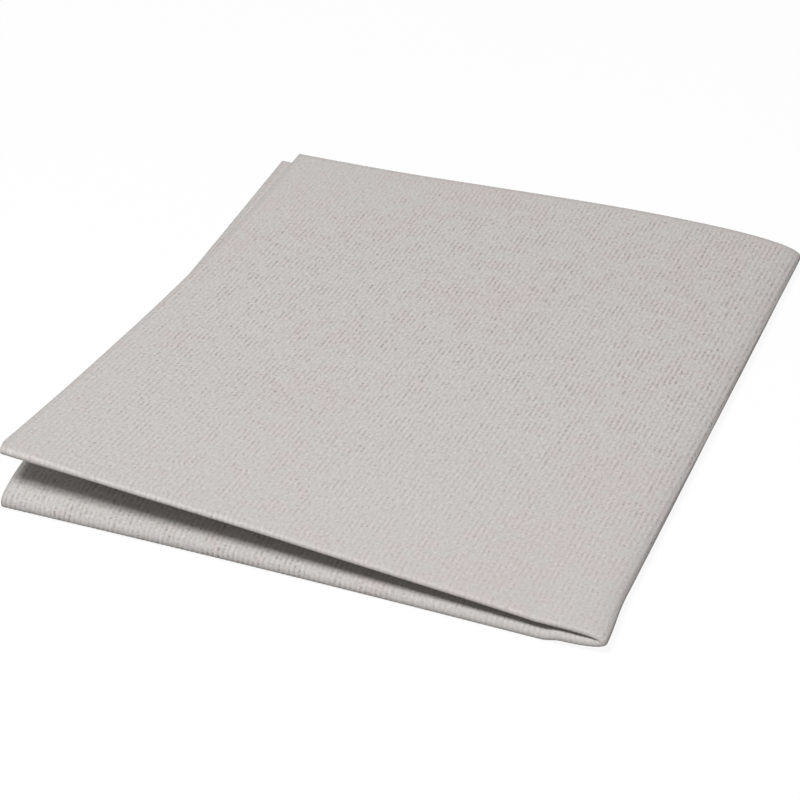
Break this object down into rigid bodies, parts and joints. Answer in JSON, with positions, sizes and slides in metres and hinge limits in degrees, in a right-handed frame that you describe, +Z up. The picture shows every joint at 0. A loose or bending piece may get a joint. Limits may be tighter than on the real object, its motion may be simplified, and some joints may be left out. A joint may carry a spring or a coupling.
{
  "type": "synthetic chamois cloth",
  "caption": "Pale grey ribbed synthetic chamois cloth folded in quarters, with an upper leaf that opens about its soft side fold",
  "frame": {"origin": "On the table under the middle of the folded cloth's bounding box", "axes": "+X along the front edge towards the side fold, +Y from the front fold to the cut back edges, +Z up"},
  "size_m": [0.175, 0.2, 0.0205],
  "materials": {
    "chamois_cloth": "matte pale warm-grey nonwoven with fine stitched ribs and a short fuzz"
  },
  "bodies": {
    "lower_leaf": {"bottom_panel": "chamois_cloth", "lower_inner_panel": "chamois_cloth", "lower_front_fold": "chamois_cloth", "outer_side_fold": "chamois_cloth", "inner_side_fold": "chamois_cloth", "crossed_corner": "chamois_cloth"},
    "upper_leaf": {"top_panel": "chamois_cloth", "upper_inner_panel": "chamois_cloth", "upper_front_fold": "chamois_cloth"}
  },
  "joints": [
    {"name": "leaf_opening", "type": "hinge", "parent": "lower_leaf", "child": "upper_leaf", "pos_m": [0.087, 0, 0.0038], "axis": [0, 1, 0], "range_deg": [0, 172], "deforming": ["outer_side_fold", "inner_side_fold", "crossed_corner"]}
  ]
}
